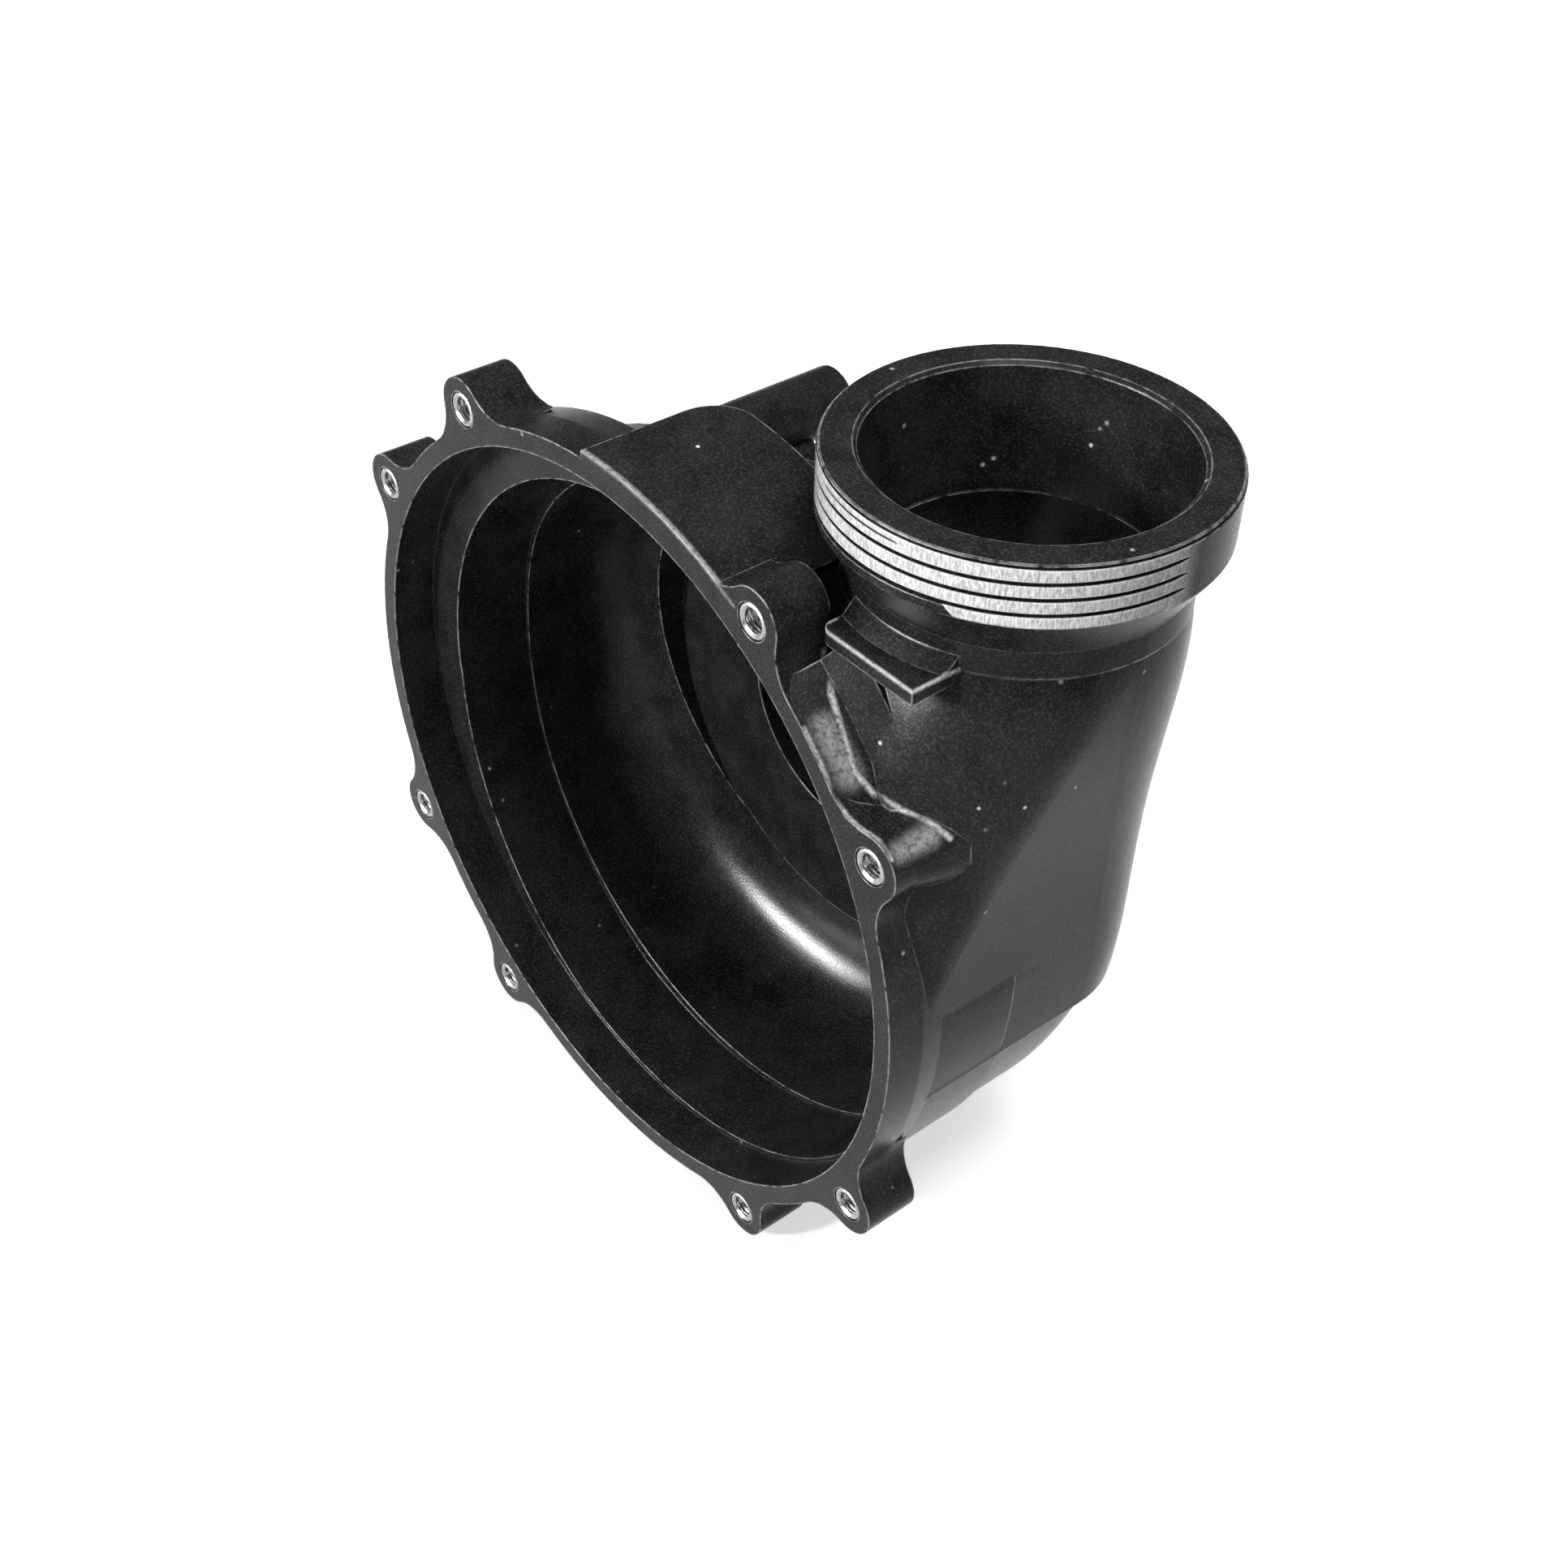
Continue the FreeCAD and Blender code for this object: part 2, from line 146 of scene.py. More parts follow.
PARTING_LINES = (
    ((41.2, 134, 48.5), (33.8, 120, 49.2), (23.7, 105, 53)),
    ((2.8, 93, 14), (2, 92, 42.6)),
)


# Sizes and colours

class ThreadSizes(bpy.types.PropertyGroup):
    """Interrupted thread on both union collars."""

    crest_radius: FloatProperty(
        name="Crest radius", description="Radius over the thread",
        default=MOUNTS["discharge_collar"]["dims"]["r_mm"] * MM, unit="LENGTH")
    pitch: FloatProperty(
        name="Pitch", description="Distance between two grooves along the collar",
        default=3.2 * MM, unit="LENGTH")
    middle_depth: FloatProperty(
        name="Middle groove", description="Depth of the middle groove below the mouth, 50 degrees before +X",
        default=7.1 * MM, unit="LENGTH")
    groove_width: FloatProperty(
        name="Groove width", description="Width of a groove at the crests",
        default=1.0 * MM, unit="LENGTH")
    root_width: FloatProperty(
        name="Root width", description="Width of a groove at its root",
        default=0.3 * MM, unit="LENGTH")
    groove_depth: FloatProperty(
        name="Groove depth", description="Depth of a groove below the crests",
        default=0.95 * MM, unit="LENGTH")
    sector: FloatProperty(
        name="Threaded sector", description="Angle of each of the two threaded sectors",
        default=math.radians(130.0), subtype="ANGLE")
    sector_start: FloatProperty(
        name="Sector start", description="Angle from +X at which the front sector starts",
        default=math.radians(-128.0), subtype="ANGLE")
    highest: FloatProperty(
        name="Highest groove", description="Least depth of a groove below the mouth",
        default=2.2 * MM, unit="LENGTH")
    lowest: FloatProperty(
        name="Lowest groove", description="Greatest depth of a groove below the mouth",
        default=12.3 * MM, unit="LENGTH")
    lip_depth: FloatProperty(
        name="Lip groove", description="Depth below the mouth of the ring groove that sets off the lip",
        default=0.62 * MM, unit="LENGTH")


class InsertSizes(bpy.types.PropertyGroup):
    """Threaded metal bush in each flange ear."""

    thread_depth: FloatProperty(
        name="Thread depth", description="Depth of the inner thread",
        default=0.35 * MM, unit="LENGTH")
    pitch: FloatProperty(
        name="Pitch", description="Pitch of the inner thread",
        default=1.0 * MM, unit="LENGTH")
    bore_radius: FloatProperty(
        name="Bore radius", description="Radius at the crests of the inner thread",
        default=2.6 * MM, unit="LENGTH")
    mouth: FloatProperty(
        name="Mouth", description="Depth and widening of the countersunk mouth",
        default=0.5 * MM, unit="LENGTH")
    rim: FloatProperty(
        name="Rim rounding", description="Rounding of the outer rim",
        default=0.8 * MM, unit="LENGTH")


class PlasticLook(bpy.types.PropertyGroup):
    """Black moulded plastic."""

    body: FloatVectorProperty(
        name="Body", description="Colour of the plastic", subtype="COLOR",
        default=(0.006, 0.006, 0.006), min=0.0, max=1.0)
    mottle: FloatVectorProperty(
        name="Mottle", description="Paler colour of the glass-filled grain", subtype="COLOR",
        default=(0.04, 0.04, 0.04), min=0.0, max=1.0)
    # The scuff colour paints the highlights on edges and fillets as well as the rubbing, chips and nicks.
    scuff_and_highlight: FloatVectorProperty(
        name="Scuff", description="Colour of rubbed edges and marks", subtype="COLOR",
        default=(0.62, 0.62, 0.62), min=0.0, max=1.0)
    crest: FloatVectorProperty(
        name="Rubbed crest", description="Colour of the rubbed thread crests", subtype="COLOR",
        default=(0.8, 0.8, 0.8), min=0.0, max=1.0)
    roughness: FloatProperty(
        name="Roughness", description="Roughness of the plastic", subtype="FACTOR",
        default=0.27, min=0.0, max=1.0)
    grain_size: FloatProperty(
        name="Grain size", description="Size of the moulded grain",
        default=0.55 * MM, unit="LENGTH")
    edge_radius: FloatProperty(
        name="Edge rounding", description="Rounding with which the moulded edges catch the light",
        default=0.6 * MM, unit="LENGTH")


class MetalLook(bpy.types.PropertyGroup):
    """Turned metal of the inserts."""

    colour: FloatVectorProperty(
        name="Metal", description="Colour of the metal", subtype="COLOR",
        default=(0.28, 0.275, 0.27), min=0.0, max=1.0)
    roughness: FloatProperty(
        name="Roughness", description="Roughness of the metal", subtype="FACTOR",
        default=0.28, min=0.0, max=1.0)


class StageLook(bpy.types.PropertyGroup):
    """Floor, lamps and camera."""

    floor_size: FloatProperty(
        name="Floor", description="Side of the square floor",
        default=4.0, unit="LENGTH")
    camera_place: FloatVectorProperty(
        name="Camera", description="Place of the camera", subtype="TRANSLATION",
        default=(0.2941, -0.2024, 0.3099))
    focal_length: FloatProperty(
        name="Focal length", description="Focal length in millimetres on a 36 mm sensor",
        default=48.6, unit="CAMERA")
    key_power: FloatProperty(
        name="Key lamp", description="Power of the key lamp in watts",
        default=16.0, unit="POWER")
    front_power: FloatProperty(
        name="Front lamp", description="Power in watts of the small lamp that looks into the casing",
        default=12.0, unit="POWER")
    strip_power: FloatProperty(
        name="Strip lamp", description="Power in watts of the long lamp that is seen only in reflections",
        default=250.0, unit="POWER")
    surround: FloatProperty(
        name="Surround", description="Strength of the even light all round",
        default=0.25)


# Meshes

def new_piece(name, points, faces, material):
    """Mesh object at the origin from arrays of points and faces."""
    mesh = bpy.data.meshes.new(name)
    mesh.from_pydata(points, [], faces)
    mesh.validate()
    mesh.materials.append(material)
    piece = bpy.data.objects.new(name, mesh)
    bpy.context.scene.collection.objects.link(piece)
    return piece


def grid_faces(rows, columns, ring=False):
    """Quads of a grid of rows by columns of points.

    The columns close round each row, and the last row joins the first where ring is set.
    """
    row, column = np.meshgrid(np.arange(rows if ring else rows - 1), np.arange(columns), indexing="ij")
    next_row = (row + 1) % rows
    next_column = (column + 1) % columns
    corners = (row * columns + column, row * columns + next_column,
               next_row * columns + next_column, next_row * columns + column)
    return np.stack(corners, axis=-1).reshape(-1, 4).tolist()


def on_collar(radius, angle, height, collar):
    """Point at a radius, angle and height about a collar's own axis, placed by the collar's matrix."""
    local = np.stack([radius * np.cos(angle), radius * np.sin(angle), height], axis=-1)
    turn = np.array(collar.to_3x3())
    return local @ turn.T + np.array(collar.translation)


def collar_places():
    """Matrices that carry a collar with its mouth at z = 0 and its axis along Z to both nozzles."""
    places = [MOUNTS[name]["pos_m"] for name in
              ("discharge_collar", "discharge_face", "suction_collar", "suction_face")]
    upright, upright_mouth, back, back_mouth = (Vector(place) for place in places)
    discharge = Matrix.Translation((upright.x, upright.y, upright_mouth.z))
    suction = Matrix.Translation((back.x, back_mouth.y, back.z)) @ Matrix.Rotation(-math.pi / 2.0, 4, "X")
    return [discharge, suction]


def groove_tool(start, end, height, sizes, collar, closed=False, width=None, depth=None):
    """Closed bar that cuts one groove: a trapezium carried round the collar, height a function of the angle.

    Point = (radius cos a, radius sin a, height(a) + side), with the radius at the root rising to the crests
    at both ends, so the groove runs out smoothly.
    """
    width = width or sizes.groove_width
    depth = depth or sizes.groove_depth
    steps = max(8, int(abs(end - start) / GROOVE_STEP))
    angle = np.linspace(start, end, steps, endpoint=not closed)
    run_out = np.ones_like(angle)
    if not closed:
        from_end = np.minimum(angle - start, end - angle) / RUN_OUT
        run_out = np.clip(from_end, 0.02, 1.0)
    root = sizes.crest_radius + OVER_CREST * (1.0 - run_out) - depth * run_out
    top = np.full_like(angle, sizes.crest_radius + 2.0 * OVER_CREST)
    slope = (width - sizes.root_width) / (2.0 * depth)
    root_half = np.full_like(angle, sizes.root_width / 2.0)
    top_half = root_half + slope * (top - root)
    rings = [(root, -root_half), (top, -top_half), (top, top_half), (root, root_half)]
    points = np.stack([on_collar(r, angle, height(angle) + side, collar) for r, side in rings], axis=1)
    faces = grid_faces(steps, len(rings), ring=closed)
    if not closed:
        last = (steps - 1) * len(rings)
        faces += [(3, 2, 1, 0), (last, last + 1, last + 2, last + 3)]
    return points.reshape(-1, 3), faces


def groove_height(angle, number, sizes):
    """Height of a thread's groove: -middle_depth + pitch ((angle - DEPTH_ANGLE) / one turn + its number)."""
    return -sizes.middle_depth + sizes.pitch * ((angle - DEPTH_ANGLE) / (2.0 * math.pi) + number)


def thread_tools(sizes):
    """Tools of all grooves in one mesh: both collars' threads, lead grooves and lip grooves."""
    tools = []
    for collar in collar_places():
        for turn in (0.0, math.pi):
            start = sizes.sector_start + turn
            end = start + sizes.sector
            for number in GROOVE_NUMBERS:
                if -sizes.lowest < groove_height((start + end) / 2.0, number, sizes) < -sizes.highest:
                    tools.append(groove_tool(
                        start, end, lambda angle: groove_height(angle, number, sizes), sizes, collar))
        lead = sizes.sector_start + LEAD_START
        tools.append(groove_tool(
            lead, lead + LEAD_SPAN, lambda angle: np.full_like(angle, -sizes.highest), sizes, collar,
            width=LEAD_WIDTH, depth=LEAD_CUT))
        tools.append(groove_tool(
            0.0, 2.0 * math.pi, lambda angle: np.full_like(angle, -sizes.lip_depth), sizes, collar,
            closed=True, width=LIP_WIDTH, depth=LIP_CUT))
    faces = []
    base = 0
    for points, quads in tools:
        faces += [[index + base for index in quad] for quad in quads]
        base += len(points)
    return np.concatenate([points for points, quads in tools]), faces


def outward(mesh):
    """Turn a closed mesh's faces outwards."""
    work = bmesh.new()
    work.from_mesh(mesh)
    bmesh.ops.recalc_face_normals(work, faces=work.faces)
    work.to_mesh(mesh)
    work.free()


def corner_vectors(mesh):
    """Normal at each corner of each face, as an array."""
    vectors = np.empty(len(mesh.loops) * 3, dtype=np.float32)
    mesh.corner_normals.foreach_get("vector", vectors)
    return vectors


def merged_copy(node, name):
    """Copy of a CAD node whose loose triangles are welded at their shared corners.

    The smooth normals of the CAD faces are kept on the corners as an attribute, which outlasts a cut.
    """
    piece = bpy.data.objects.new(name, frame["nodes"][node].data.copy())
    bpy.context.scene.collection.objects.link(piece)
    vectors = corner_vectors(piece.data)
    own = piece.data.attributes.get("custom_normal")
    if own is not None:
        piece.data.attributes.remove(own)
    kept = piece.data.attributes.new("smooth_normal", "FLOAT_VECTOR", "CORNER")
    kept.data.foreach_set("vector", vectors)
    work = bmesh.new()
    work.from_mesh(piece.data)
    bmesh.ops.remove_doubles(work, verts=work.verts, dist=WELD_DISTANCE)
    work.to_mesh(piece.data)
    work.free()
    return piece


def cut(piece, points, faces):
    """Cut a closed mesh out of a piece."""
    mesh = bpy.data.meshes.new("tool")
    mesh.from_pydata(points, [], faces)
    outward(mesh)
    tool = bpy.data.objects.new("tool", mesh)
    bpy.context.scene.collection.objects.link(tool)
    modifier = piece.modifiers.new("cut", "BOOLEAN")
    modifier.operation = "DIFFERENCE"
    modifier.solver = "EXACT"
    modifier.object = tool
    bpy.context.view_layer.update()
    shaped = bpy.data.meshes.new_from_object(piece.evaluated_get(bpy.context.evaluated_depsgraph_get()))
    piece.modifiers.remove(modifier)
    piece.data = shaped
    bpy.data.objects.remove(tool)
    bpy.data.meshes.remove(mesh)


def shade(piece, angle):
    """Smooth shading with the corners past an angle kept sharp."""
    piece.data.shade_smooth()
    piece.data.set_sharp_from_angle(angle=angle)


def restore_normals(mesh):
    """Give every corner its kept normal. A corner that a cut made has none, and keeps its own."""
    kept = mesh.attributes["smooth_normal"]
    vectors = np.empty(len(mesh.loops) * 3, dtype=np.float32)
    kept.data.foreach_get("vector", vectors)
    vectors = vectors.reshape(-1, 3)
    length = np.linalg.norm(vectors, axis=1)
    own = corner_vectors(mesh).reshape(-1, 3)
    agree = np.sum(own * vectors, axis=1) > 0.5 * length
    chosen = np.where(((length > 0.5) & agree)[:, None], vectors / np.maximum(length, 0.5)[:, None], own)
    mesh.attributes.remove(kept)
    mesh.normals_split_custom_set(chosen.tolist())


def insert_mesh(centre, low, high, radius, sizes, material, name):
    """Threaded bush about an axis along Y, as one closed grid of angle by profile.

    Its bore radius follows a triangular wave of the depth less the angle's share of a turn, which is a
    helix. The wave fades out at the mouth and at the far end.
    """
    angle = np.linspace(0.0, 2.0 * math.pi, INSERT_COLUMNS, endpoint=False)
    deep = np.linspace(low + sizes.mouth, high, THREAD_ROWS)
    rim = np.linspace(0.0, math.pi / 2.0, RIM_ROWS)
    outer_r = np.concatenate([np.full(1, radius), radius - sizes.rim * (1.0 - np.cos(rim))])
    outer_y = np.concatenate([np.full(1, high), low + sizes.rim * (1.0 - np.sin(rim))])
    turn = angle / (2.0 * math.pi)
    wave = np.abs(((deep[:, None] - low) / sizes.pitch - turn[None, :]) % 1.0 - 0.5) * 2.0
    fade = np.clip(np.minimum(deep - deep[0], deep[-1] - deep) / (0.5 * sizes.pitch), 0.0, 1.0)
    bore = sizes.bore_radius + sizes.thread_depth * wave * fade[:, None]
    mouth_r = np.full((1, INSERT_COLUMNS), sizes.bore_radius + sizes.mouth)
    radii = np.concatenate([np.repeat(outer_r[:, None], INSERT_COLUMNS, axis=1), mouth_r, bore])
    depths = np.concatenate([outer_y, np.full(1, low), deep])
    x = centre.x + radii * np.cos(angle)[None, :]
    z = centre.z + radii * np.sin(angle)[None, :]
    y = np.repeat(depths[:, None], INSERT_COLUMNS, axis=1)
    points = np.stack([x, y, z], axis=-1).reshape(-1, 3)
    piece = new_piece(name, points, grid_faces(len(depths), INSERT_COLUMNS, ring=True), material)
    outward(piece.data)
    return piece


# Materials

def new_group(name, inputs, outputs):
    """Empty shader node group with named inputs, each with its default, and named outputs."""
    group = bpy.data.node_groups.new(name, "ShaderNodeTree")
    for label, kind, default in inputs:
        socket = group.interface.new_socket(label, in_out="INPUT", socket_type=kind)
        if default is not None:
            socket.default_value = default
    for label, kind in outputs:
        group.interface.new_socket(label, in_out="OUTPUT", socket_type=kind)
    return group, group.nodes.new("NodeGroupInput"), group.nodes.new("NodeGroupOutput")


def add(tree, kind, values=None, **settings):
    """New node with its settings, and its input sockets set or linked."""
    node = tree.nodes.new(kind)
    for key, value in settings.items():
        setattr(node, key, value)
    for key, value in (values or {}).items():
        if isinstance(value, bpy.types.NodeSocket):
            tree.links.new(value, node.inputs[key])
        else:
            node.inputs[key].default_value = value
    return node


def maths(tree, operation, first, second=0.0, third=0.0, clamp=False):
    """Output of a Math node."""
    values = {0: first, 1: second, 2: third}
    return add(tree, "ShaderNodeMath", values, operation=operation, use_clamp=clamp).outputs[0]


def vector_maths(tree, operation, values, output="Vector"):
    """Output of a Vector Math node."""
    return add(tree, "ShaderNodeVectorMath", values, operation=operation).outputs[output]


def noise(tree, vector, scale, detail=2.0, roughness=0.5):
    """Value of a noise texture."""
    values = {"Vector": vector, "Scale": scale, "Detail": detail, "Roughness": roughness}
    return add(tree, "ShaderNodeTexNoise", values).outputs["Fac"]


def smooth_step(tree, value, low, high):
    """Smooth step of a value from 0 at low to 1 at high."""
    values = {"Value": value, "From Min": low, "From Max": high, "To Min": 0.0, "To Max": 1.0}
    return add(tree, "ShaderNodeMapRange", values, interpolation_type="SMOOTHSTEP").outputs[0]


def grain_group():
    """Moulded grain: fine specks of glass fill over a slow mottle, as a shade and a height."""
    group, inside, outside = new_group(
        "Moulded grain",
        [("Vector", "NodeSocketVector", None), ("Size", "NodeSocketFloat", 0.7 * MM)],
        [("Shade", "NodeSocketFloat"), ("Height", "NodeSocketFloat")])
    scale = maths(group, "DIVIDE", 1.0, inside.outputs["Size"])
    fine = noise(group, inside.outputs["Vector"], scale, detail=3.0, roughness=0.75)
    slow = noise(group, inside.outputs["Vector"], 90.0, detail=3.0, roughness=0.6)
    crisp = smooth_step(group, fine, 0.45, 0.7)
    soft = smooth_step(group, slow, 0.3, 0.7)
    mottle = maths(group, "MULTIPLY_ADD", crisp, 0.75, maths(group, "MULTIPLY", soft, 0.25))
    group.links.new(mottle, outside.inputs["Shade"])
    group.links.new(fine, outside.inputs["Height"])
    return group


def edge_wear_and_highlight_group():
    """Outer edges, worn and with a painted highlight: where the rounded normal leaves the true one, broken up
    by noise.

    Only an outer edge is marked, and it is told from an inner one by the open space round it.
    """
    group, inside, outside = new_group(
        "Worn and highlit edges",
        [("Vector", "NodeSocketVector", None), ("Radius", "NodeSocketFloat", 0.5 * MM),
         ("Breaks", "NodeSocketFloat", 400.0)],
        [("Mask", "NodeSocketFloat"), ("Normal", "NodeSocketVector")])
    bevel = add(group, "ShaderNodeBevel", {"Radius": inside.outputs["Radius"]}, samples=6)
    true = add(group, "ShaderNodeNewGeometry")
    dot = vector_maths(group, "DOT_PRODUCT", {0: bevel.outputs["Normal"], 1: true.outputs["Normal"]}, "Value")
    bend = maths(group, "SUBTRACT", 1.0, dot)
    broken = noise(group, inside.outputs["Vector"], inside.outputs["Breaks"], detail=4.0)
    ragged = smooth_step(group, broken, 0.3, 0.6)
    open_sky = add(group, "ShaderNodeAmbientOcclusion", {"Distance": 2.5 * MM}, samples=4)
    outer_edge = smooth_step(group, open_sky.outputs["AO"], 0.7, 0.95)
    mask = maths(group, "MULTIPLY", smooth_step(group, bend, 0.01, 0.12), ragged)
    mask = maths(group, "MULTIPLY", mask, outer_edge)
    group.links.new(mask, outside.inputs["Mask"])
    group.links.new(bevel.outputs["Normal"], outside.inputs["Normal"])
    return group


def speck_group():
    """Small bright chips: the cores of sparse cells, thinned out by a slow noise."""
    group, inside, outside = new_group(
        "Chips",
        [("Vector", "NodeSocketVector", None), ("Spacing", "NodeSocketFloat", 6.0 * MM),
         ("Size", "NodeSocketFloat", 0.12)],
        [("Mask", "NodeSocketFloat")])
    scale = maths(group, "DIVIDE", 1.0, inside.outputs["Spacing"])
    cells = add(group, "ShaderNodeTexVoronoi", {"Vector": inside.outputs["Vector"], "Scale": scale})
    slow = noise(group, inside.outputs["Vector"], 35.0)
    core = smooth_step(group, cells.outputs["Distance"], inside.outputs["Size"], 0.0)
    chosen = smooth_step(group, slow, 0.52, 0.6)
    pick = add(group, "ShaderNodeSeparateColor", {"Color": cells.outputs["Color"]})
    few = maths(group, "GREATER_THAN", pick.outputs["Red"], 0.6)
    mask = maths(group, "MULTIPLY", maths(group, "MULTIPLY", core, chosen), few)
    group.links.new(mask, outside.inputs["Mask"])
    return group


def front_point(place):
    """Point in metres from its angle in the front view, its radius and its depth."""
    angle, radius, depth = place
    turn = math.radians(angle)
    return Vector((radius * math.cos(turn), depth, radius * math.sin(turn))) * MM


def near_point(group, vector, place, reach):
    """Mask that falls from 1 at a point to 0 at its reach."""
    away = vector_maths(group, "DISTANCE", {0: vector, 1: place}, "Value")
    return smooth_step(group, away, reach, 0.3 * reach)


def near_line(group, vector, start, end, reach):
    """Mask that falls from 1 on a straight line to 0 at its reach.

    The nearest point is the start plus the line times the clamped share (p - start).line / line.line.
    """
    line = end - start
    share_of = line / line.dot(line)
    from_start = vector_maths(group, "SUBTRACT", {0: vector, 1: start})
    share = vector_maths(group, "DOT_PRODUCT", {0: from_start, 1: share_of}, "Value")
    share = maths(group, "ADD", share, 0.0, clamp=True)
    along = vector_maths(group, "SCALE", {0: line, "Scale": share})
    away = vector_maths(group, "DISTANCE", {0: from_start, 1: along}, "Value")
    return smooth_step(group, away, reach, 0.0)


def highlights_and_marks_group():
    """Painted highlight lines, nicks and parting lines, each near its own places and broken up by fine noise.
    """
    group, inside, outside = new_group(
        "Highlights and marks", [("Vector", "NodeSocketVector", None)],
        [("Rubbed", "NodeSocketFloat"), ("Parting", "NodeSocketFloat")])
    vector = inside.outputs["Vector"]
    # The Rubbed output carries the painted highlight lines together with the real nicks.
    rubbed = 0.0
    for places, reach, amount in PAINTED_HIGHLIGHT_LINES:
        points = [front_point(place) for place in places]
        for start, end in zip(points, points[1:]):
            mask = near_line(group, vector, start, end, reach * MM)
            rubbed = maths(group, "MAXIMUM", maths(group, "MULTIPLY", mask, amount), rubbed)
    broken = noise(group, vector, 1100.0, detail=4.0, roughness=0.7)
    rubbed = maths(group, "MULTIPLY", rubbed, smooth_step(group, broken, 0.2, 0.65))
    for place in NICKS:
        rubbed = maths(group, "MAXIMUM", near_point(group, vector, front_point(place), 0.6 * MM), rubbed)
    parting = 0.0
    for places in PARTING_LINES:
        points = [front_point(place) for place in places]
        for start, end in zip(points, points[1:]):
            parting = maths(group, "MAXIMUM", near_line(group, vector, start, end, 1.2 * MM), parting)
    group.links.new(rubbed, outside.inputs["Rubbed"])
    group.links.new(parting, outside.inputs["Parting"])
    return group


def crest_group(thread):
    """Rubbed thread crests about the Z axis below z = 0: near the crest radius and in a threaded sector.

    Fine scratches run across the thread, the middle of the sector is rubbed more than its end, and the
    lowest crest is rubbed only past the first part of the sector.
    """
    group, inside, outside = new_group(
        "Rubbed crests", [("Vector", "NodeSocketVector", None)], [("Mask", "NodeSocketFloat")])
    parts = add(group, "ShaderNodeSeparateXYZ", {0: inside.outputs["Vector"]})
    x, y, z = parts.outputs
    radius = maths(group, "SQRT", maths(group, "MULTIPLY_ADD", x, x, maths(group, "MULTIPLY", y, y)))
    angle = maths(group, "ARCTAN2", y, x)
    crest = smooth_step(group, radius, thread.crest_radius - 0.3 * MM, thread.crest_radius - 0.12 * MM)
    outer = smooth_step(group, radius, thread.crest_radius + 0.5 * MM, thread.crest_radius + 0.2 * MM)
    past = maths(group, "SINE", maths(group, "SUBTRACT", angle, LOWEST_START))
    lowest = maths(group, "MULTIPLY_ADD", smooth_step(group, past, 0.05, -0.05), LOWEST_LACK, -RUBBED_DEPTH)
    low = smooth_step(group, z, lowest, maths(group, "ADD", lowest, 0.4 * MM))
    high = smooth_step(group, z, -0.6 * MM, -0.9 * MM)
    middle = thread.sector_start + thread.sector / 2.0
    along = maths(group, "ABSOLUTE", maths(group, "COSINE", maths(group, "SUBTRACT", angle, middle)))
    limit = math.cos(thread.sector / 2.0)
    sector = smooth_step(group, along, limit - 0.05, limit + 0.12)
    band = maths(group, "MULTIPLY", crest, outer)
    mask = maths(group, "MULTIPLY", band, maths(group, "MULTIPLY", low, high))
    mask = maths(group, "MULTIPLY", mask, sector)
    worst = maths(group, "COSINE", maths(group, "SUBTRACT", angle, RUBBED_MOST))
    worst = smooth_step(group, maths(group, "ABSOLUTE", worst), 0.35, 1.0)
    rubbed = maths(group, "MULTIPLY_ADD", worst, 0.6, 0.4)
    across = add(group, "ShaderNodeMapping", {"Vector": inside.outputs["Vector"], "Scale": (1.0, 1.0, 0.25)})
    streaks = smooth_step(group, noise(group, across.outputs[0], 2600.0, roughness=0.7), 0.3, 0.7)
    broken = maths(group, "MULTIPLY_ADD", streaks, 0.55, 0.45)
    mask = maths(group, "MULTIPLY", mask, maths(group, "MULTIPLY", rubbed, broken))
    group.links.new(mask, outside.inputs["Mask"])
    return group


def place_group(tree, group, values):
    """Node that uses a node group, with its inputs set or linked."""
    return add(tree, "ShaderNodeGroup", values, node_tree=group)


def blend_colour(tree, amount, first, second):
    """Colour mixed between two by an amount."""
    values = {"Factor": amount, 6: first, 7: second}
    return add(tree, "ShaderNodeMix", values, data_type="RGBA").outputs[2]


def empty_tree(holder, output_kind):
    """Cleared node tree of a material or a world, with its output node."""
    holder.use_nodes = True
    tree = holder.node_tree
    tree.nodes.clear()
    return tree, add(tree, output_kind)


def new_material(name):
    """Material with its Principled shader and its Object coordinates."""
    material = bpy.data.materials.new(name)
    tree, output = empty_tree(material, "ShaderNodeOutputMaterial")
    shader = add(tree, "ShaderNodeBsdfPrincipled")
    tree.links.new(shader.outputs[0], output.inputs[0])
    coordinates = add(tree, "ShaderNodeTexCoord").outputs["Object"]
    return material, tree, shader, coordinates


def collar_coordinates(tree, coordinates, collar):
    """Object coordinates seen from a collar: its axis along Z and its mouth at z = 0."""
    inverse = collar.inverted()
    values = {"Vector": coordinates, "Location": inverse.translation, "Rotation": inverse.to_euler()}
    return add(tree, "ShaderNodeMapping", values, vector_type="POINT").outputs[0]


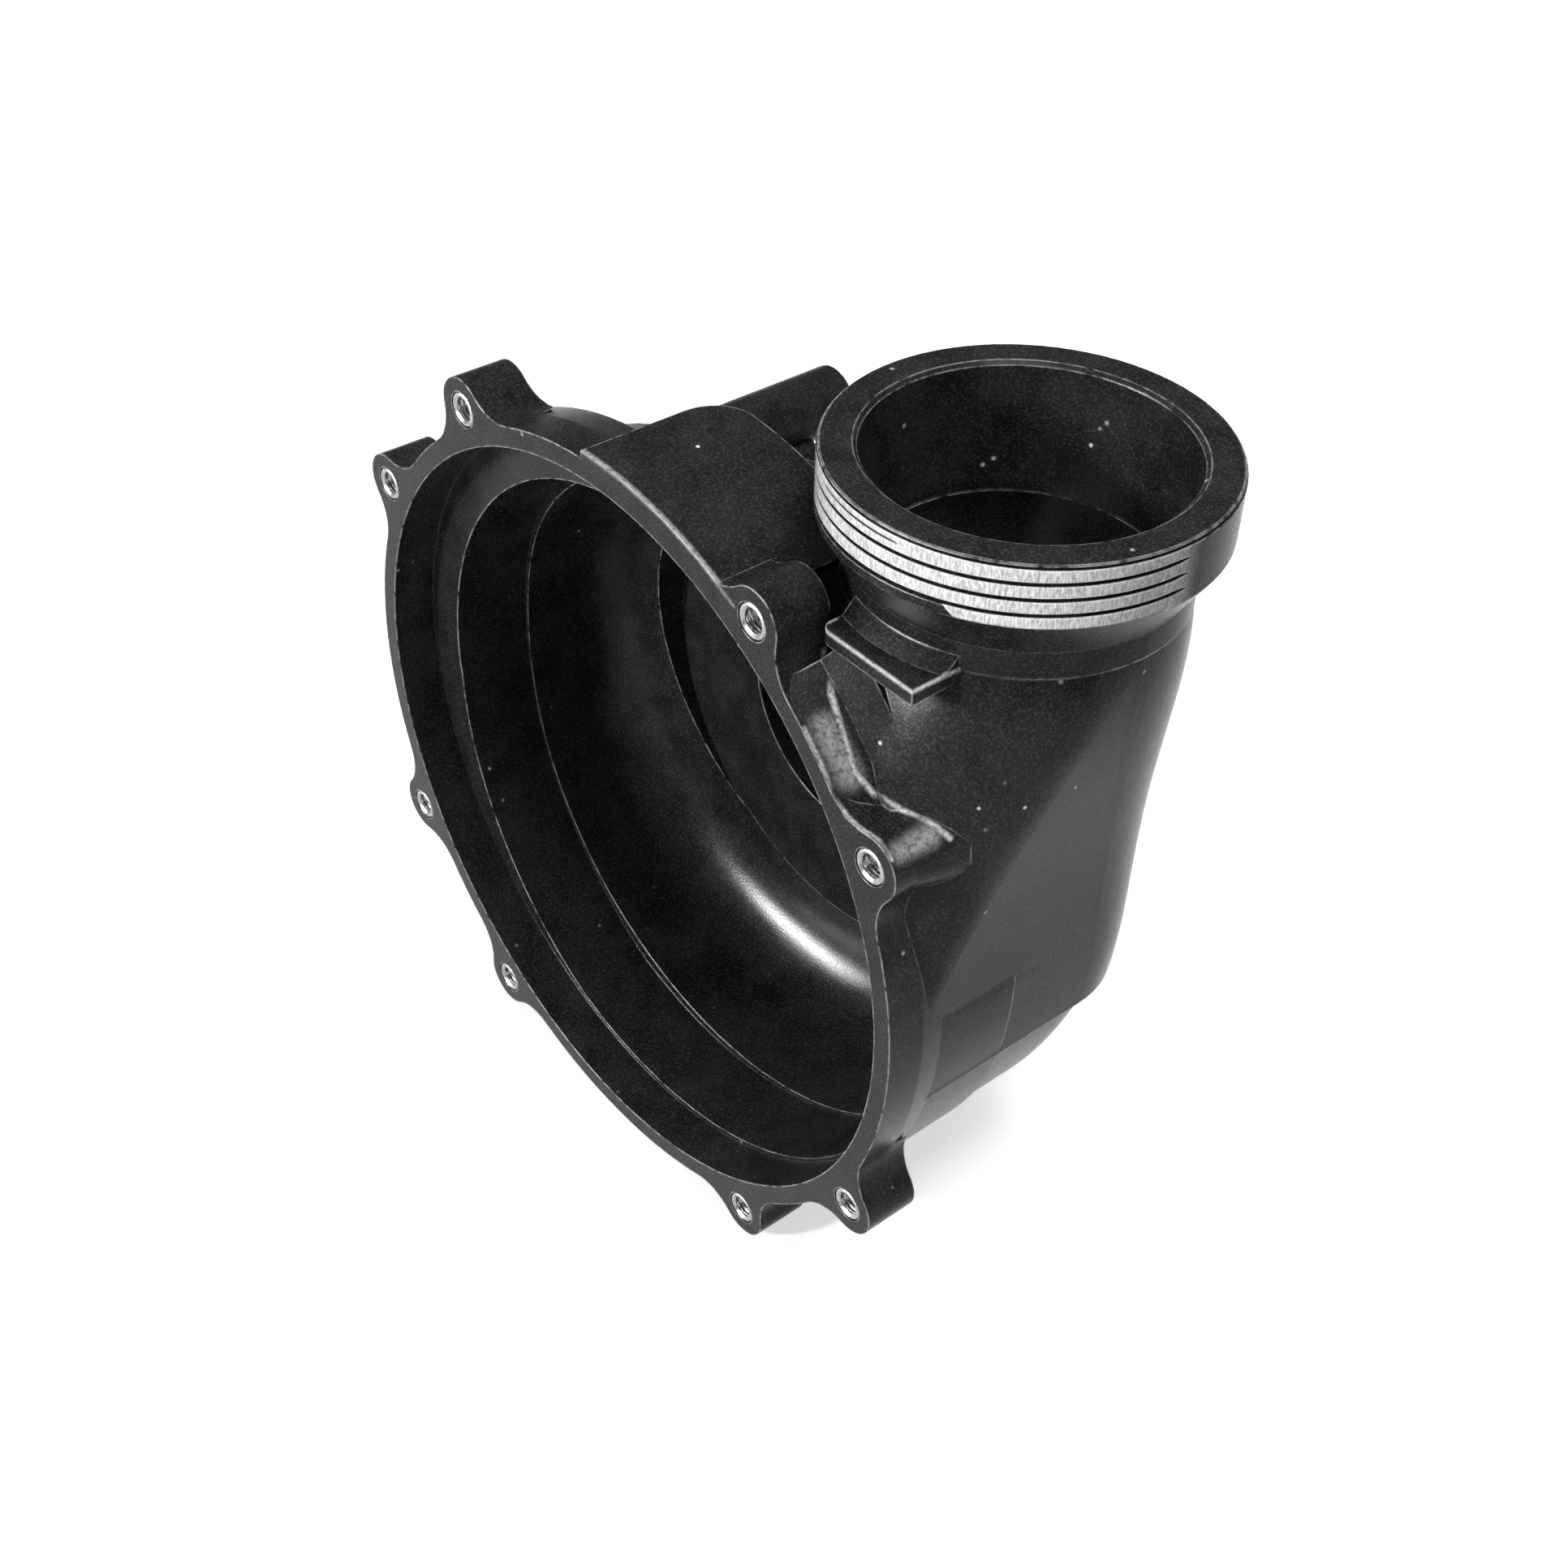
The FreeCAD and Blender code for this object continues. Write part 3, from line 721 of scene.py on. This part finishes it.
def casing_material(look, thread):
    """Black plastic with grain, rubbed edges with a painted highlight, painted highlight lines, chips and
    rubbed thread crests.
    """
    material, tree, shader, coordinates = new_material("casing_plastic")
    grain = place_group(tree, grain_group(), {"Vector": coordinates, "Size": look.grain_size})
    edges = place_group(tree, edge_wear_and_highlight_group(), {"Vector": coordinates, "Radius": look.edge_radius})
    chips = place_group(tree, speck_group(), {"Vector": coordinates})
    crests = crest_group(thread)
    masks = [place_group(tree, crests, {"Vector": collar_coordinates(tree, coordinates, collar)}).outputs[0]
             for collar in collar_places()]
    rubbed = maths(tree, "ADD", masks[0], masks[1], clamp=True)
    body = blend_colour(tree, grain.outputs["Shade"], (*look.body, 1.0), (*look.mottle, 1.0))
    places = place_group(tree, highlights_and_marks_group(), {"Vector": coordinates})
    # Painted highlights on outer edges and along the highlight lines, with the edge wear, nicks and chips,
    # all take the scuff colour.
    wear_and_highlight = maths(tree, "MULTIPLY", edges.outputs["Mask"], EDGE_WEAR_AND_HIGHLIGHT)
    wear_and_highlight = maths(tree, "MAXIMUM", wear_and_highlight, places.outputs["Rubbed"])
    marks = maths(tree, "MAXIMUM", wear_and_highlight, maths(tree, "MULTIPLY", chips.outputs["Mask"], CHIP_WEAR))
    parting = maths(tree, "MULTIPLY", places.outputs["Parting"], PARTING_SHADE)
    body = blend_colour(tree, parting, body, (0.0, 0.0, 0.0, 1.0))
    scuffed_and_highlit = blend_colour(tree, marks, body, (*look.scuff_and_highlight, 1.0))
    colour = blend_colour(tree, rubbed, scuffed_and_highlit, (*look.crest, 1.0))
    tree.links.new(colour, shader.inputs["Base Color"])
    rough = maths(tree, "MULTIPLY_ADD", grain.outputs["Shade"], 0.12, look.roughness - 0.05)
    tree.links.new(rough, shader.inputs["Roughness"])
    bump = add(tree, "ShaderNodeBump", {"Height": grain.outputs["Height"], "Normal": edges.outputs["Normal"],
                                        "Strength": BUMP_STRENGTH, "Distance": BUMP_HEIGHT})
    tree.links.new(bump.outputs[0], shader.inputs["Normal"])
    shader.inputs["Specular IOR Level"].default_value = SPECULAR_LEVEL
    return material


def insert_material(look):
    """Turned metal with a fine uneven tone."""
    material, tree, shader, coordinates = new_material("insert_metal")
    uneven = noise(tree, coordinates, 1500.0, detail=3.0)
    dark = tuple(0.75 * value for value in look.colour)
    colour = blend_colour(tree, smooth_step(tree, uneven, 0.3, 0.7), (*dark, 1.0), (*look.colour, 1.0))
    tree.links.new(colour, shader.inputs["Base Color"])
    rough = maths(tree, "MULTIPLY_ADD", uneven, 0.2, look.roughness - 0.1)
    tree.links.new(rough, shader.inputs["Roughness"])
    shader.inputs["Metallic"].default_value = 1.0
    return material


def floor_material():
    """Pale floor that keeps the object's shadow and shows white to the camera and in reflections."""
    material = bpy.data.materials.new("floor")
    tree, output = empty_tree(material, "ShaderNodeOutputMaterial")
    diffuse = add(tree, "ShaderNodeBsdfDiffuse", {"Color": FLOOR_COLOUR})
    path = add(tree, "ShaderNodeLightPath").outputs
    seen = maths(tree, "MAXIMUM", path["Is Camera Ray"], path["Is Glossy Ray"])
    seen = maths(tree, "MAXIMUM", seen, path["Is Transmission Ray"])
    glow = add(tree, "ShaderNodeEmission", {"Strength": maths(tree, "MULTIPLY", seen, FLOOR_GLOW)})
    both = add(tree, "ShaderNodeAddShader", {0: diffuse.outputs[0], 1: glow.outputs[0]})
    tree.links.new(both.outputs[0], output.inputs[0])
    return material


# Stage

def make_floor(size, height):
    """Square floor at a height."""
    half = size / 2.0
    points = [(-half, -half, height), (half, -half, height), (half, half, height), (-half, half, height)]
    floor = new_piece("floor", points, [(0, 1, 2, 3)], floor_material())


def make_lamp(name, place, size, power):
    """Area lamp that faces the target. Its size is a width and a height."""
    lamp = bpy.data.lights.new(name, "AREA")
    lamp.shape = "RECTANGLE"
    lamp.size, lamp.size_y = size
    lamp.energy = power
    holder = bpy.data.objects.new(name, lamp)
    bpy.context.scene.collection.objects.link(holder)
    direction = Vector(LAMP_TARGET) - Vector(place)
    holder.matrix_world = Matrix.Translation(place) @ direction.to_track_quat("-Z", "Y").to_matrix().to_4x4()
    return holder


def make_camera(look):
    """Camera at the photograph's place, with its right, up and back directions."""
    right = Vector(CAMERA_RIGHT).normalized()
    back = right.cross(Vector(CAMERA_UP)).normalized()
    up = back.cross(right)
    camera = bpy.data.cameras.new("camera")
    camera.lens = look.focal_length
    camera.sensor_width = SENSOR_WIDTH
    camera.clip_start = 0.01
    holder = bpy.data.objects.new("camera", camera)
    bpy.context.scene.collection.objects.link(holder)
    turn = Matrix((right, up, back)).transposed().to_4x4()
    holder.matrix_world = Matrix.Translation(look.camera_place) @ turn
    bpy.context.scene.camera = holder


def make_world(strength):
    """Even light all round, white to the camera and through anything clear."""
    world = bpy.data.worlds.new("world")
    bpy.context.scene.world = world
    tree, output = empty_tree(world, "ShaderNodeOutputWorld")
    path = add(tree, "ShaderNodeLightPath").outputs
    seen = maths(tree, "MAXIMUM", path["Is Camera Ray"], path["Is Transmission Ray"])
    power = maths(tree, "MULTIPLY_ADD", seen, 1.0 - strength, strength)
    ground = add(tree, "ShaderNodeBackground", {"Color": (1.0, 1.0, 1.0, 1.0), "Strength": power})
    tree.links.new(ground.outputs[0], output.inputs[0])


# Operators

class CASING_OT_moulding(bpy.types.Operator):
    """Make the moulding from the packed casing, and cut the thread into both collars"""

    bl_idname = "casing.moulding"
    bl_label = "Casing"

    def execute(self, context):
        scene = context.scene
        piece = merged_copy("casing", "casing_moulding")
        points, faces = thread_tools(scene.casing_thread)
        cut(piece, points, faces)
        piece.data.materials.clear()
        piece.data.materials.append(casing_material(scene.casing_plastic, scene.casing_thread))
        shade(piece, CASING_SHARP)
        restore_normals(piece.data)
        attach(piece, "root")
        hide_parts("casing")
        return {"FINISHED"}


class CASING_OT_inserts(bpy.types.Operator):
    """Make the eight threaded metal inserts"""

    bl_idname = "casing.inserts"
    bl_label = "Inserts"

    def execute(self, context):
        scene = context.scene
        material = insert_material(scene.casing_metal)
        for number in range(1, INSERT_COUNT + 1):
            node = "threaded_insert_" + str(number)
            low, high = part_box(node)
            centre = (low + high) / 2.0
            radius = (high.x - low.x) / 2.0
            piece = insert_mesh(centre, low.y, high.y, radius, scene.casing_insert, material,
                                "insert_bush_" + str(number))
            shade(piece, INSERT_SHARP)
            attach(piece, "root")
            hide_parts(node)
        return {"FINISHED"}


class CASING_OT_stage(bpy.types.Operator):
    """Make the floor, the lamps, the camera and the surroundings"""

    bl_idname = "casing.stage"
    bl_label = "Stage"

    def execute(self, context):
        look = context.scene.casing_stage
        make_floor(look.floor_size, CAD_BOX[0][2])
        make_lamp("key", *KEY_LAMP, look.key_power)
        make_lamp("front", *FRONT_LAMP, look.front_power)
        strip = make_lamp("strip", *STRIP_LAMP, look.strip_power)
        strip.visible_diffuse = False
        make_camera(look)
        make_world(look.surround)
        context.scene.view_settings.view_transform = "Standard"
        return {"FINISHED"}


class CASING_PT_panel(bpy.types.Panel):
    """Sizes, looks and pieces of the pump casing"""

    bl_idname = "CASING_PT_panel"
    bl_label = "Pump casing"
    bl_space_type = "VIEW_3D"
    bl_region_type = "UI"
    bl_category = "Pump"

    def draw(self, context):
        for operator in OPERATORS:
            self.layout.operator(operator.bl_idname)
        for name, group in SETTINGS.items():
            box = self.layout.box()
            box.label(text=group.__doc__)
            for key in group.__annotations__:
                box.prop(getattr(context.scene, name), key)


SETTINGS = {
    "casing_thread": ThreadSizes,
    "casing_insert": InsertSizes,
    "casing_plastic": PlasticLook,
    "casing_metal": MetalLook,
    "casing_stage": StageLook,
}
OPERATORS = (CASING_OT_moulding, CASING_OT_inserts, CASING_OT_stage)


def register():
    for name, group in SETTINGS.items():
        bpy.utils.register_class(group)
        setattr(bpy.types.Scene, name, PointerProperty(type=group))
    for operator in OPERATORS:
        bpy.utils.register_class(operator)
    bpy.utils.register_class(CASING_PT_panel)


def unregister():
    bpy.utils.unregister_class(CASING_PT_panel)
    for operator in reversed(OPERATORS):
        bpy.utils.unregister_class(operator)
    for name, group in SETTINGS.items():
        delattr(bpy.types.Scene, name)
        bpy.utils.unregister_class(group)


def main():
    """Build every piece and the stage."""
    register()
    bpy.ops.casing.moulding()
    bpy.ops.casing.inserts()
    bpy.ops.casing.stage()


if __name__ == "__main__":
    main()
